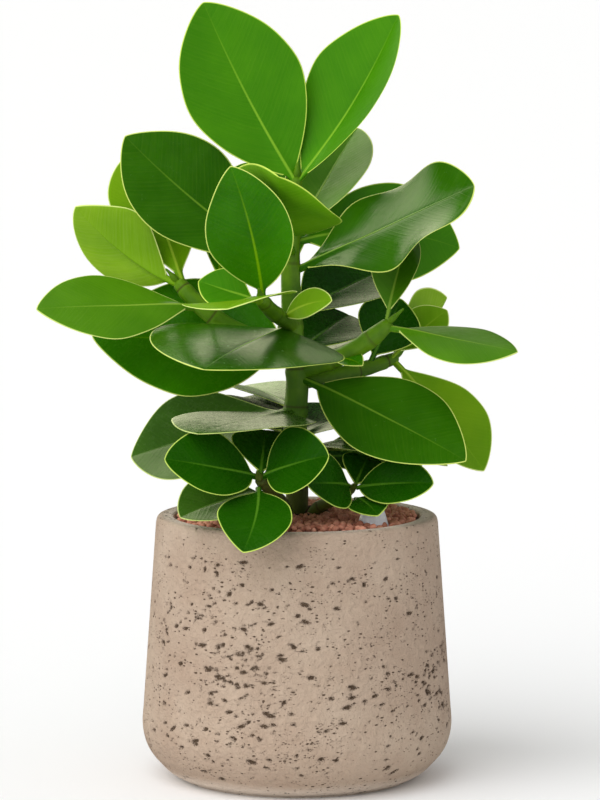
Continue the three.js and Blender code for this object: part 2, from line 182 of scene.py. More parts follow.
def newGroup(name, inputs, outputs):
    tree = bpy.data.node_groups.new(name, "ShaderNodeTree")
    for label, kind in inputs:
        tree.interface.new_socket(name=label, in_out="INPUT", socket_type="NodeSocket" + kind)
    for label, kind in outputs:
        tree.interface.new_socket(name=label, in_out="OUTPUT", socket_type="NodeSocket" + kind)
    return tree, tree.nodes.new("NodeGroupInput").outputs, tree.nodes.new("NodeGroupOutput").inputs


def useGroup(tree, group, inputs):
    return addNode(tree, "Group", inputs, node_tree=group).outputs


# Two of the finish's own masks: broad soft patches, and the fine grain that also sets how rough it is.
def mottle(tree, place, broad, fine, share):
    inputs = {"Place": place, "Broad Scale": broad, "Fine Scale": fine, "Fine Share": share}
    return useGroup(tree, mottleGroup, inputs)


def newMaterial(name, **constants):
    material = bpy.data.materials.new(name)
    material.use_nodes = True
    tree = material.node_tree
    shader = tree.nodes["Principled BSDF"]
    for key, value in constants.items():
        shader.inputs[key].default_value = value
    return material, tree, shader


# The colour goes to the shader, and the grain makes it rough between two values.
def setFinish(tree, shader, colour, grain, smoothest, roughest, low=0.2, high=0.8):
    tree.links.new(colour, shader.inputs["Base Color"])
    tree.links.new(ramp(tree, grain, low, high, smoothest, roughest), shader.inputs["Roughness"])


def bump(tree, shader, height, distance, strength=1.0):
    made = addNode(tree, "Bump", {"Height": height, "Distance": distance, "Strength": strength})
    tree.links.new(made.outputs["Normal"], shader.inputs["Normal"])


# Leaf veins: a rib along the middle that narrows to the tip, slanted side veins and the thin margin.
def makeVeinGroup():
    tree, given, out = newGroup(
        "leafVeins",
        [("Place", "Vector"), ("Share", "Float"), ("Spacing", "Float"), ("Slant", "Float"),
         ("Rib Width", "Float"), ("Margin Width", "Float")],
        [("Rib", "Float"), ("Veins", "Float"), ("Margin", "Float"), ("Height", "Float")],
    )
    split = axes(tree, given["Place"])
    away = calc(tree, "ABSOLUTE", split[0])
    narrowing = minus(tree, 1.08, given["Share"])
    ribHalf = times(tree, given["Rib Width"], narrowing)
    edge = plus(tree, ribHalf, 0.35)
    ribShape = ramp(tree, away, edge, times(tree, ribHalf, 0.35))
    rib = times(tree, ribShape, ramp(tree, given["Share"], 1.0, 0.25, 0.12, 1.0))
    wander = noise(tree, given["Place"], 0.03, 1.0)
    bowed = times(tree, calc(tree, "POWER", away, 1.15), given["Slant"])
    slanted = minus(tree, split[1], bowed)
    count = plus(tree, calc(tree, "DIVIDE", slanted, given["Spacing"]), times(tree, wander, 0.9))
    veins = ramp(tree, calc(tree, "PINGPONG", count, 0.5), 0.3, 0.5)
    drawnOut = {0: times(tree, slanted, 0.55), 1: times(tree, away, 0.035)}
    streakPlace = addNode(tree, "CombineXYZ", drawnOut).outputs[0]
    streaks = ramp(tree, noise(tree, streakPlace, 1.0, 3.0, 0.6), 0.35, 0.7)
    both = addNode(tree, "Mix", {0: 0.6, 2: veins, 3: streaks}).outputs[0]
    tree.links.new(rib, out["Rib"])
    tree.links.new(both, out["Veins"])
    width = given["Margin Width"]
    tree.links.new(ramp(tree, split[2], width, times(tree, width, 0.45)), out["Margin"])
    height = minus(tree, times(tree, rib, -0.8), times(tree, both, 0.22))
    tree.links.new(height, out["Height"])
    return tree


# Soft patches of two sizes laid over each other, from 0 to 1.
def makeMottleGroup():
    tree, given, out = newGroup(
        "softMottle",
        [("Place", "Vector"), ("Broad Scale", "Float"), ("Fine Scale", "Float"), ("Fine Share", "Float")],
        [("Mottle", "Float"), ("Grain", "Float")],
    )
    broad = ramp(tree, noise(tree, given["Place"], given["Broad Scale"], 3.0), 0.3, 0.7)
    fine = noise(tree, given["Place"], given["Fine Scale"], 4.0, 0.65)
    mixed = addNode(tree, "Mix", {0: given["Fine Share"], 2: broad, 3: fine}).outputs[0]
    tree.links.new(mixed, out["Mottle"])
    tree.links.new(fine, out["Grain"])
    return tree


# Small open pores, wider than high, in loose clusters: cells whose middle is near enough, where a broad
# noise allows them.
def makePoreGroup():
    tree, given, out = newGroup(
        "smallPores",
        [("Place", "Vector"), ("Scale", "Float"), ("Size", "Float"), ("Cover", "Float")],
        [("Pores", "Float")],
    )
    fine = {"Vector": given["Place"], "Scale": 520.0, "Detail": 2.0}
    bend = addNode(tree, "TexNoise", fine).outputs["Color"]
    shift = addNode(tree, "VectorMath", {0: bend, 1: (-0.5, -0.5, -0.5)}, operation="ADD").outputs[0]
    small = addNode(tree, "VectorMath", {0: shift, "Scale": 0.0016}, operation="SCALE").outputs[0]
    bent = addNode(tree, "VectorMath", {0: given["Place"], 1: small}, operation="ADD").outputs[0]
    spots = {"Vector": bent, "Scale": given["Scale"], "Randomness": 1.0}
    cells = addNode(tree, "TexVoronoi", spots).outputs
    own = addNode(tree, "SeparateColor", {0: cells["Color"]}).outputs
    cluster = ramp(tree, noise(tree, given["Place"], 32.0, 2.0), 0.42, 0.68)
    reach = times(tree, given["Size"], plus(tree, 0.3, times(tree, own[0], 0.9)))
    hole = ramp(tree, cells["Distance"], reach, times(tree, reach, 0.6))
    allowed = calc(tree, "GREATER_THAN", plus(tree, given["Cover"], times(tree, cluster, 0.5)), own[1])
    tree.links.new(times(tree, hole, allowed), out["Pores"])
    return tree


veinGroup = makeVeinGroup()
mottleGroup = makeMottleGroup()
poreGroup = makePoreGroup()
print("shader groups built")

# ---- camera and light ----
studio = {
    "cameraPlace": (1.9, -2454.3, 507.9),
    "lookAt": (1.9, 0, 244.0),
    "lens": 173.0,
    "skyStrength": 0.6,
    "boxGlow": 3.2,
    "boxLowGlow": 1.9,
    "boxBack": 0.8,
    "boxHigh": 0.35,
    "boxLeft": 0.4,
    "boxStart": 0.74,
    "boxFull": 0.96,
    "roomGlow": 0.04,
    "boxTint": (1.0, 1.0, 0.66, 1),
    "sunStrength": 2.3,
    "sunSoftness": 70,
    "sunFrom": (-0.7, -0.74, 0.95),
    "floorHalf": 250000,
    "floorTone": (0.93, 0.93, 0.93, 1),
}


def aim(thing, towards):
    thing.rotation_mode = "QUATERNION"
    thing.rotation_quaternion = (Vector(towards) - thing.location).to_track_quat("-Z", "Y")


def makeStudio():
    scene = bpy.context.scene
    lens = bpy.data.cameras.new("camera")
    camera = bpy.data.objects.new("camera", lens)
    scene.collection.objects.link(camera)
    lens.lens = studio["lens"]
    lens.sensor_width = 36
    lens.clip_end = 500
    camera.location = Vector(studio["cameraPlace"]) * mm
    aim(camera, Vector(studio["lookAt"]) * mm)
    scene.camera = camera
    scene.view_settings.view_transform = "Standard"

    world = bpy.data.worlds.new("studio")
    scene.world = world
    world.use_nodes = True
    tree = world.node_tree
    # reflections see a bright soft box high at the back left and a dim room elsewhere
    # everything else sees an even sky
    rays = addNode(tree, "LightPath").outputs
    way = axes(tree, addNode(tree, "TexCoord").outputs["Generated"])
    backwards = plus(tree, times(tree, way[1], studio["boxBack"]), times(tree, way[2], studio["boxHigh"]))
    leftwards = calc(tree, "MINIMUM", times(tree, way[0], -1.0), studio["boxLeft"])
    towardsBox = plus(tree, backwards, leftwards)
    boxGlow = ramp(tree, way[2], 0.2, 0.85, studio["boxLowGlow"], studio["boxGlow"])
    glow = ramp(tree, towardsBox, studio["boxStart"], studio["boxFull"], studio["roomGlow"], boxGlow)
    even = addNode(tree, "Mix", {0: rays["Is Camera Ray"], 2: studio["skyStrength"], 3: 1.0}).outputs[0]
    strength = addNode(tree, "Mix", {0: rays["Is Glossy Ray"], 2: even, 3: glow}).outputs[0]
    tint = mixColour(tree, rays["Is Glossy Ray"], (1, 1, 1, 1), studio["boxTint"])
    tree.links.new(tint, tree.nodes["Background"].inputs["Color"])
    tree.links.new(strength, tree.nodes["Background"].inputs["Strength"])

    sunData = bpy.data.lights.new("key", "SUN")
    sunData.energy = studio["sunStrength"]
    sunData.angle = radians(studio["sunSoftness"])
    sun = bpy.data.objects.new("key", sunData)
    scene.collection.objects.link(sun)
    sun.visible_glossy = False
    sun.location = Vector(studio["sunFrom"])
    aim(sun, (0, 0, 0))

    # the floor is one level square
    half = studio["floorHalf"]
    corners = np.array([[-half, -half, 0], [half, -half, 0], [half, half, 0], [-half, half, 0]], float)
    square = makeMesh("floor", corners, np.array([[0, 1, 2, 3]]), np.zeros((0, 3), int))
    floor = bpy.data.objects.new("floor", square)
    scene.collection.objects.link(floor)
    dull = {"Base Color": studio["floorTone"], "Roughness": 0.9, "Specular IOR Level": 0.1}
    paint, _, _ = newMaterial("floorPaint", **dull)
    floor.data.materials.append(paint)
    floor.visible_glossy = False


makeStudio()
print("camera, light and floor placed")

# ---- planter ----
planter = {
    "around": 540,
    "wallStep": 1.18,
    "rimRound": 3.5,
    "pitCount": 1900,
    "pitDepth": 1.6,
    "clusters": 60,
    "seed": 4,
}


# The larger pits of the front: degrees round from the front, height, half width, half height, tilt in degrees
frontPits = [
    [-27, 131, 2.2, 1.5, 30], [-14, 126, 2.4, 1.3, -10], [3, 126, 3.6, 1.4, -15], [14, 139, 1.8, 0.9, -20],
    [-39, 145, 1.2, 2.0, 0], [-33, 143, 1.2, 2.4, 20], [22, 141, 2.4, 1.0, -10], [27, 137, 1.3, 1.8, 30],
]


# Smooth curve through a few points: cubic pieces with centripetal slopes. It gives as many points as asked
# for, evenly spaced along it, or one at each share of its length.
def throughPoints(points, count, shares=None):
    p = np.asarray(points, float)
    p = np.concatenate([[2 * p[0] - p[1]], p, [2 * p[-1] - p[-2]]])
    gaps = np.maximum(np.linalg.norm(np.diff(p, axis=0), axis=1) ** 0.5, 1e-6)
    fine = []
    steps = np.linspace(0, 1, 65)[:, None]
    for i in range(1, len(p) - 2):
        d0, d1, d2 = gaps[i - 1], gaps[i], gaps[i + 1]
        slope1 = ((p[i] - p[i - 1]) / d0 - (p[i + 1] - p[i - 1]) / (d0 + d1) + (p[i + 1] - p[i]) / d1) * d1
        slope2 = ((p[i + 1] - p[i]) / d1 - (p[i + 2] - p[i]) / (d1 + d2) + (p[i + 2] - p[i + 1]) / d2) * d1
        a, b = 2 * (p[i] - p[i + 1]) + slope1 + slope2, 3 * (p[i + 1] - p[i]) - 2 * slope1 - slope2
        fine.append((a * steps**3 + b * steps**2 + slope1 * steps + p[i])[:-1])
    fine = np.concatenate([*fine, p[-2:-1]])
    run = np.concatenate([[0], np.cumsum(np.linalg.norm(np.diff(fine, axis=0), axis=1))])
    at = (np.linspace(0, 1, count) if shares is None else shares) * run[-1]
    return np.stack([np.interp(at, run, fine[:, k]) for k in range(p.shape[1])], -1)


def arc(centreR, centreZ, radius, start, end, steps):
    t = np.radians(np.linspace(start, end, steps + 1))
    return np.stack([centreR + radius * np.cos(t), centreZ + radius * np.sin(t)], -1)


# The planter's skin: a profile of (radius, height) turned round the axis. Pits push the wall in by depth
# times a soft dome, and broad low waves keep the cast wall from being perfectly round.
def makePlanter():
    s = planter
    random = np.random.default_rng(s["seed"])
    bend = [[77.5, 1.8], [84, 5.5], [89.5, 11], [94, 16.2], [97.3, 22], [99.4, 29.5], [100, 36], [99.6, 43]]
    belly = throughPoints(bend, 44)
    rows = int((166.5 - 43) / s["wallStep"])
    heights = np.linspace(43, 166.5, rows)[1:-1]
    wall = np.stack([100 - 9.5 * (heights - 36) / 134, heights], -1)
    rim = arc(87, 166.5, s["rimRound"], 3, 90, 9)
    lip = arc(81, 168, 2, 90, 180, 6)
    inside = [[79, 165], [79.3, 160], [80.3, 140], [87.6, 48], [86.2, 34], [80, 20], [70, 13], [60, 12]]
    foot = [[60, 0], [74.1, 0], [74.5, 0.4], [74.5, 1.6], [77.1, 1.75]]
    profile = np.concatenate([foot, belly, wall, rim, lip, inside])
    count = s["around"]
    angle = fullTurn(count)
    radius = np.repeat(profile[:, :1], count, 1)
    height = np.repeat(profile[:, 1:], count, 1)

    # the rows of the profile that face out
    lows = len(foot)
    highs = lows + len(belly) + len(wall) + len(rim) - 4
    outer = np.zeros(len(profile), bool)
    outer[lows:highs] = True

    # pits gather round random middles
    middles = np.stack([random.uniform(0, 360, s["clusters"]), random.uniform(14, 132, s["clusters"])], -1)
    pick = random.integers(0, s["clusters"], s["pitCount"])
    spread = random.normal(0, 1, (s["pitCount"], 2)) * [11, 8]
    loose = random.uniform(0, 1, s["pitCount"]) < 0.4
    alone = np.stack([random.uniform(0, 360, s["pitCount"]), random.uniform(8, 158, s["pitCount"])], -1)
    places = np.where(loose[:, None], alone, middles[pick] + spread)
    size = 0.38 + 1.0 * random.uniform(0, 1, s["pitCount"]) ** 3.4
    shape = random.uniform(1.1, 2.9, s["pitCount"])
    tilt = random.normal(0, 14, s["pitCount"])
    pits = np.stack([places[:, 0], places[:, 1], size * shape, size, tilt], -1)
    pits = np.concatenate([pits[(places[:, 1] > 5) & (places[:, 1] < 161)], np.array(frontPits)])

    field = np.full(radius.shape, -1.0)
    wallHeight = profile[lows:highs, 1]
    degrees = np.degrees(angle)
    for place, z, wide, high, turn in pits:
        around = (degrees - place + 180) % 360 - 180
        columns = np.abs(around) < 4.5
        rowsNear = np.abs(wallHeight - z) < 6.5
        across = np.radians(around[columns])[None, :] * 97
        up = (wallHeight[rowsNear] - z)[:, None]
        c, d = cos(radians(turn)), sin(radians(turn))
        reach = np.hypot((across * c + up * d) / wide, (up * c - across * d) / high)
        dome = 1 - reach
        rowsAt = lows + np.flatnonzero(rowsNear)
        here = np.ix_(rowsAt, np.flatnonzero(columns))
        field[here] = np.maximum(field[here], dome * min(high, 1.4))

    depth = s["pitDepth"] * smoothStep(-0.1, 0.75, field)
    slope = np.gradient(profile, axis=0)
    normal = unit(np.stack([slope[:, 1], -slope[:, 0]], -1))
    low = 0.35 * np.sin(3 * angle + 1.0) + 0.22 * np.sin(7 * angle + 2.2)
    onWall = outer[:, None] * (0.5 + 0.5 * np.sin(height / 23 + 1.1))
    radius = radius - depth * normal[:, :1] + low[None, :] * onWall * 0.6
    height = height - depth * normal[:, 1:]
    points, squares, fans = closedTube(turned(radius, height, angle), [0, 0, 0], [0, 0, 12])
    pit = np.concatenate([field.ravel(), [-1, -1]])
    return makeMesh("planter_shell", points, squares, fans, {"pit": pit})


concrete = {
    "dark": "af9885",
    "light": "c3af9b",
    "cloud": "a58a75",
    "inner": "e2d2c2",
    "innerFrom": 0.0905,
    "innerTo": 0.0825,
    "holeShadeDark": "2e2015",
    "holeShadeLight": "67523d",
}


# Washed concrete: two mottled tones and clouds, paler inside the rim, with pits, pores and specks coloured
# dark brown as painted shade in the hollows.
def makeConcrete():
    material, tree, shader = newMaterial("washedConcrete", **{"Specular IOR Level": 0.25})
    place = objectPlace(tree)
    stretched = objectPlace(tree, (1, 1, 2.0))
    patches = mottle(tree, place, 16.0, 190.0, 0.35)
    cloud = ramp(tree, noise(tree, place, 38.0, 4.0, 0.6), 0.35, 0.75)
    colour = mixColour(tree, patches["Mottle"], rgb(concrete["dark"]), rgb(concrete["light"]))
    colour = mixColour(tree, times(tree, cloud, 0.3), colour, rgb(concrete["cloud"]))
    split = axes(tree, place)
    squared = plus(tree, times(tree, split[0], split[0]), times(tree, split[1], split[1]))
    inner = ramp(tree, calc(tree, "SQRT", squared), concrete["innerFrom"], concrete["innerTo"], 0.0, 0.85)
    colour = mixColour(tree, inner, colour, rgb(concrete["inner"]))
    coarse = {"Place": stretched, "Scale": 300.0, "Size": 0.33, "Cover": 0.14}
    small = {"Place": stretched, "Scale": 560.0, "Size": 0.34, "Cover": 0.0}
    pores, specks = (useGroup(tree, poreGroup, inputs)["Pores"] for inputs in (coarse, small))
    ragged = times(tree, minus(tree, noise(tree, stretched, 1250.0, 5.0, 0.75), 0.5), 5.0)
    pit = ramp(tree, plus(tree, attribute(tree, "pit"), ragged), 0.16, 0.27)
    holes = calc(tree, "MAXIMUM", calc(tree, "MAXIMUM", pit, pores), times(tree, specks, 0.7), clamp=True)
    # pits, pores and specks take a dark brown: painted shade inside the hollows
    holeShadeDark, holeShadeLight = rgb(concrete["holeShadeDark"]), rgb(concrete["holeShadeLight"])
    holeShade = mixColour(tree, noise(tree, place, 900.0, 2.0), holeShadeDark, holeShadeLight)
    colour = mixColour(tree, times(tree, holes, 0.9), colour, holeShade)
    setFinish(tree, shader, colour, patches["Grain"], 0.78, 0.95)
    dents = ramp(tree, noise(tree, place, 190.0, 5.0, 0.65), 0.3, 0.7)
    uneven = plus(tree, times(tree, dents, 0.6), times(tree, patches["Grain"], 0.35))
    height = minus(tree, uneven, holes)
    bump(tree, shader, height, 0.0014, 1.0)
    return material


addPiece(makePlanter(), makeConcrete(), "concrete", "pot")
print("planter cast")

# ---- clay granules and soil, dark brown with painted shade ----
bed = {
    "spacing": 4.6,
    "jitter": 1.1,
    "moundRadius": 21,
    "reach": 76.3,
    "gaugePlace": (48.2, -40),
    "seed": 11,
}


# Height of the bed: a low dome that falls to the wall.
def bedHeight(r):
    return 172 - 2.6 * (np.asarray(r) / 79) ** 2.2


# Many pebbles as one mesh: a unit ball of a few rings, stretched, turned and roughened, one copy for each
# middle.
def pebbleField(middles, sizes, random, rough=0.16):
    sides, rings = 9, 5
    count = len(middles)
    turn = fullTurn(sides)
    tip = np.linspace(0, pi, rings + 2)[1:-1, None]
    level = np.repeat(np.cos(tip), sides, 1)
    ball = np.stack([np.sin(tip) * np.cos(turn), np.sin(tip) * np.sin(turn), level], -1).reshape(-1, 3)
    ball = np.concatenate([ball, [[0, 0, 1], [0, 0, -1]]])
    ways = unit(random.normal(0, 1, (count, 3, 3)))
    first = ways[:, 0]
    second = unit(np.cross(first, ways[:, 1]))
    third = np.cross(first, second)
    basis = np.stack([first, second, third], 1)
    stretch = sizes[:, None] * random.uniform(0.8, 1.15, (count, 3))
    swing = random.uniform(1.2, 2.6, (count, 1, 3)) * ball[None] * 2
    waves = np.sin(swing + random.uniform(0, 6, (count, 1, 3)))
    lumps = 1 + rough * waves.sum(-1, keepdims=True) / 2
    local = ball[None] * lumps * stretch[:, None, :]
    points = middles[:, None, :] + np.einsum("nvk,nkj->nvj", local, basis)
    squares = gridFaces(rings, sides)
    fans = endFans(rings, sides)
    step = len(ball)
    shift = (np.arange(count) * step)[:, None, None]
    tone = np.repeat(random.uniform(0, 1, count), step)
    squares = (squares[None] + shift).reshape(-1, 4)
    fans = (fans[None] + shift).reshape(-1, 3)
    return points.reshape(-1, 3), squares, fans, tone


def scatter(spacing, jitter, reach, random):
    steps = np.arange(-reach, reach + spacing, spacing)
    x, y = np.meshgrid(steps, steps * 0.87, indexing="ij")
    x = x + (np.arange(len(steps)) % 2)[None, :] * spacing / 2
    places = np.stack([x.ravel(), y.ravel()], -1)
    places = places + random.uniform(-jitter, jitter, places.shape)
    return places[np.hypot(places[:, 0], places[:, 1]) < reach]


def makeBed():
    random = np.random.default_rng(bed["seed"])
    top = scatter(bed["spacing"], bed["jitter"], bed["reach"], random)
    under = scatter(bed["spacing"], bed["jitter"], bed["reach"], random)
    places = np.concatenate([top, under])
    sizes = np.concatenate([random.uniform(1.6, 2.7, len(top)), random.uniform(1.7, 2.5, len(under))])
    r = np.hypot(places[:, 0], places[:, 1])
    drop = np.concatenate([random.uniform(0.2, 2.4, len(top)), random.uniform(3.2, 4.4, len(under))])
    middles = np.column_stack([places, bedHeight(r) - drop])
    fromGauge = np.hypot(*(places - bed["gaugePlace"]).T)
    # none under the hood, apart from a few in front that lie against it
    clear = ((fromGauge > 11) | (places[:, 1] < -44)) & (fromGauge > 8)
    keep = (r > bed["moundRadius"] - 3) & clear
    points, squares, fans, tone = pebbleField(middles[keep], sizes[keep], random)
    upper = np.concatenate([np.ones(len(top)), np.zeros(len(under))])[keep]
    # the lower layer gets a low tone and so a colour near the dark end: painted shade in the gaps between the
    # top pebbles
    tone = tone * 0.3 + 0.7 * np.repeat(upper, len(points) // keep.sum()) * (0.4 + 0.6 * tone)
    return makeMesh("clay_pebbles", points, squares, fans, {"tone": tone})


# The soil: a lens under the pebbles that rises to a lumpy mound round the stems. Its dark brown is also
# painted shade, in the gaps between the pebbles and under the leaves.
def makeSoil():
    random = np.random.default_rng(bed["seed"] + 1)
    rows = np.concatenate([np.linspace(1.5, 40, 34), np.linspace(42, 78.3, 14)])
    count = 96
    angle = fullTurn(count)
    r = rows[:, None] * np.ones(count)
    rise = np.zeros_like(r)
    for k in range(1, 9):
        phase = random.uniform(0, 6, 3)
        bent = 2 * np.sin(angle * (k % 3 + 1) + phase[1])
        rise += np.sin(r * k * 0.16 + phase[0] + bent) * np.cos(angle * k + phase[2]) / k
    mound = smoothStep(bed["moundRadius"] + 7, bed["moundRadius"] - 7, r)
    z = bedHeight(r) - 5.5 + mound * (4.2 + 0.9 * rise)
    low = np.array([[78.3, 150], [60, 149], [20, 149]])
    z = np.minimum(z, 172.5)
    rings = np.concatenate([turned(r, z, angle), turned(low[:, :1], low[:, 1:], angle)])[::-1]
    points, squares, fans = closedTube(rings, [0, 0, 149], [0, 0, float(z[0].mean())])
    return makeMesh("soil_and_shade_bed", points, squares, fans)


# lumps round the stems: soil lumps whose dark brown is also painted shade on the granules under the leaves
def makeSoilLumps():
    random = np.random.default_rng(bed["seed"] + 2)
    places = scatter(5.2, 1.8, bed["moundRadius"] + 2, random)
    r = np.hypot(places[:, 0], places[:, 1])
    keep = r > 9
    middles = np.column_stack([places, bedHeight(r) - random.uniform(1.6, 4.5, len(r))])[keep]
    points, squares, fans, tone = pebbleField(middles, random.uniform(1.8, 4.4, keep.sum()), random, 0.34)
    return makeMesh("soil_and_shade_lumps", points, squares, fans, {"tone": tone})


def makeClay():
    material, tree, shader = newMaterial("firedClay", **{"Specular IOR Level": 0.25})
    place = objectPlace(tree)
    patches = mottle(tree, place, 160.0, 900.0, 0.4)
    tone = attribute(tree, "tone")
    # the dark end of the tone is also the painted shade given to the lower layer of pebbles
    colour = mixColour(tree, tone, rgb("863f2a"), rgb("f6b094"))
    colour = mixColour(tree, times(tree, patches["Mottle"], 0.35), colour, rgb("a4573f"))
    dust = ramp(tree, noise(tree, place, 420.0, 3.0), 0.52, 0.75)
    colour = mixColour(tree, times(tree, dust, 0.35), colour, rgb("e0b39d"))
    setFinish(tree, shader, colour, patches["Grain"], 0.75, 0.95)
    bump(tree, shader, patches["Grain"], 0.0005, 0.7)
    return material


def makeEarth(name, dark, light, scale):
    material, tree, shader = newMaterial(name, **{"Specular IOR Level": 0.2})
    place = objectPlace(tree)
    patches = mottle(tree, place, scale, scale * 6, 0.5)
    colour = mixColour(tree, patches["Mottle"], rgb(dark), rgb(light))
    setFinish(tree, shader, colour, patches["Grain"], 0.8, 1.0)
    bump(tree, shader, patches["Mottle"], 0.0008, 0.9)
    return material


soilShadeBrown = makeEarth("soilAndPaintedShade", "1c120c", "4a3020", 160.0)
addPiece(makeSoil(), soilShadeBrown, "root_fibre", "clay_granules")
addPiece(makeSoilLumps(), soilShadeBrown, "root_fibre")
addPiece(makeBed(), makeClay(), "fired_clay", "clay_granules")
print("pebbles and soil laid")

# ---- water gauge ----
gauge = {
    "place": bed["gaugePlace"],
    "tube": 5.5,
    "hood": 10,
    "sides": 48,
}


# The gauge: a turned tube with a tapered, softly rounded hood.
def makeGauge():
    g = gauge
    tube, brim = g["tube"], g["hood"]
    outside = [
        [tube - 1.2, 30], [tube, 30], [tube, 60], [tube, 165.5], [tube + 0.3, 166.8],
        [brim - 0.4, 167.2], [brim, 167.6], [brim, 168.6],
    ]
    hood = throughPoints([[brim - 0.2, 169.2], [8.9, 172.2], [7.0, 178.2]], 14)
    crown = arc(5.0, 178.0, 2.0, 10, 90, 6)
    dimple = [[3.5, 179.9], [3.0, 179.4], [1.2, 179.3]]
    profile = np.concatenate([outside, hood, crown, dimple])
    rings = turned(profile[:, :1], profile[:, 1:], fullTurn(g["sides"])) + [*g["place"], 0]
    points, squares, fans = closedTube(rings, [*g["place"], 30], [*g["place"], 179.3])
    return makeMesh("gauge_tube", points, squares, fans)


def makeGaugePlastic():
    material, tree, shader = newMaterial("milkyPlastic", **{"Roughness": 0.22, "Specular IOR Level": 0.6})
    place = objectPlace(tree)
    patches = mottle(tree, place, 60.0, 400.0, 0.3)
    height = axes(tree, place)[2]
    # the lower hood is tinted a darker lavender grey: painted shade near its foot
    hoodFootShade = ramp(tree, height, 0.174, 0.1675)
    colour = mixColour(tree, patches["Mottle"], rgb("fbfbff"), rgb("eeeffa"))
    colour = mixColour(tree, times(tree, hoodFootShade, 0.4), colour, rgb("c4c8e0"))
    setFinish(tree, shader, colour, patches["Grain"], 0.16, 0.32)
    return material


addPiece(makeGauge(), makeGaugePlastic(), "clear_plastic", "water_gauge")
print("water gauge set")

# ---- stems ----
# Each shoot: points on its line, radius at each point, and shares of its length where a leaf pair grows.
shoots = {
    "main": {
        "path": [[0, 2, 112], [0, 0, 178], [-1, 0, 232], [0, 0, 262],
                 [-3, 0, 292], [-4, 0, 330], [-2, 0, 360], [0, 0, 388]],
        "radii": [6, 7.2, 7.6, 7.2, 6.8, 6, 4.6, 3.6],
        "knots": [0.35, 0.455, 0.545, 0.65, 0.79, 0.9],
    },
    "left": {
        "path": [[-2, 0, 274], [-24, -4, 283], [-44, -6, 292], [-64, -6, 307], [-77, -1, 321]],
        "radii": [5, 5.6, 5.8, 5.6, 4.4],
        "knots": [0.3, 0.62, 0.9],
    },
    "right": {
        "path": [[2, 0, 262], [18, -4, 268], [36, -9, 277], [50, -13, 287], [60, -16, 296]],
        "radii": [5, 5.6, 5.8, 5.8, 4],
        "knots": [0.3, 0.72],
    },
    "back_right": {
        "path": [[2, 2, 255], [24, 16, 258], [46, 30, 262], [66, 40, 268]],
        "radii": [4.5, 5, 5, 3.8],
        "knots": [0.55, 0.85],
    },
    "upper_front": {
        "path": [[-3, -2, 292], [-8, -20, 297], [-16, -44, 305], [-23, -68, 315]],
        "radii": [4.5, 4.8, 5, 4],
        "knots": [0.5, 0.85],
    },
    "low_front": {
        "path": [[-2, -12, 130], [-6, -18, 172], [-14, -42, 188], [-24, -69, 202]],
        "radii": [3.5, 4, 4, 3.4],
        "knots": [0.6, 0.93],
    },
    "low_right": {
        "path": [[6, -6, 130], [10, -12, 172], [22, -24, 182], [36, -36, 192]],
        "radii": [3.5, 3.8, 3.8, 3.2],
        "knots": [0.6, 0.93],
    },
}


# A tube round a line: rings square to it, kept from twisting by carrying the last ring's first axis along.
def tubeRings(line, radii, sides):
    tangent = unit(np.gradient(line, axis=0))
    axis = np.empty_like(line)
    current = unit(np.cross(tangent[0], [0.3, 0.9, 0.1]))
    for i, t in enumerate(tangent):
        current = current - t * np.dot(current, t)
        current = current / np.linalg.norm(current)
        axis[i] = current
    other = np.cross(tangent, axis)
    angle = fullTurn(sides)
    outward = axis[:, None] * np.cos(angle)[None, :, None] + other[:, None] * np.sin(angle)[None, :, None]
    return line[:, None] + outward * radii[..., None]


# A shoot's skin: a tube whose radius swells at each knot, with faint ridges along it and a domed end.
def shootSurface(shoot, sides=28):
    rough = throughPoints(shoot["path"], 220)
    length = np.linalg.norm(np.diff(rough, axis=0), axis=1).sum()
    share = np.linspace(0, 1, max(40, int(length / 1.1)))
    line = throughPoints(shoot["path"], 0, share)
    chord = np.linalg.norm(np.diff(np.array(shoot["path"], float), axis=0), axis=1)
    at = np.concatenate([[0], np.cumsum(chord)]) / chord.sum()
    radius = np.interp(share, at, shoot["radii"])
    run = share * length
    ring = np.zeros_like(run)
    for knot in shoot["knots"]:
        away = run - knot * length
        radius = radius * (1 + 0.09 * np.exp(-((away / 3.2) ** 2)))
        radius = radius - 0.28 * np.exp(-(((away - 2.2) / 0.7) ** 2))
        ring = np.maximum(ring, np.exp(-(((away - 2.2) / 0.55) ** 2)))
    dome = np.sqrt(np.clip(1 - ((run - length + 4) / 4).clip(0) ** 2, 0.004, 1))
    angle, down = fullTurn(sides)[None], run[:, None]
    ridges = 1 + 0.018 * np.sin(5 * angle + down / 9) + 0.012 * np.sin(9 * angle - down / 14)
    rings = tubeRings(line, (radius * dome)[:, None] * ridges, sides)
    points, squares, fans = closedTube(rings, line[0], line[-1])
    ringValues = np.concatenate([np.repeat(ring, sides), [0, 0]])
    runValues = np.concatenate([np.repeat(run, sides), [0, length]])
    turnValues = np.concatenate([np.tile(np.arange(sides) / sides, len(run)), [0, 0]])
    return points, squares, fans, ringValues, np.stack([runValues, turnValues, ringValues * 0], -1)


def joinSurfaces(parts):
    points, squares, fans, start = [], [], [], 0
    for part in parts:
        points.append(part[0])
        squares.append(part[1] + start)
        fans.append(part[2] + start)
        start += len(part[0])
    extra = [np.concatenate([part[k] for part in parts]) for k in range(3, len(parts[0]))]
    return [np.concatenate(points), np.concatenate(squares), np.concatenate(fans), *extra]


# A bud: a small pointed tube of two closed bracts, fattest at a third of its length.
def budSurface(start, end, radius, sides=20):
    share = np.linspace(0, 1, 18)
    line = np.asarray(start) + (np.asarray(end, float) - start) * share[:, None]
    closing = np.sqrt(np.clip(1 - share**3.2, 0.0015, 1))
    swell = radius * (0.62 + 0.38 * np.sin(pi * np.minimum(share * 1.5, 1))) * closing
    seam = 1 - 0.12 * np.exp(-((np.sin(fullTurn(sides)) / 0.22) ** 2))
    rings = tubeRings(line, swell[:, None] * seam[None], sides)
    points, squares, fans = closedTube(rings, line[0], line[-1])
    blank = np.zeros(len(points))
    return points, squares, fans, blank, np.stack([blank, blank, blank], -1)


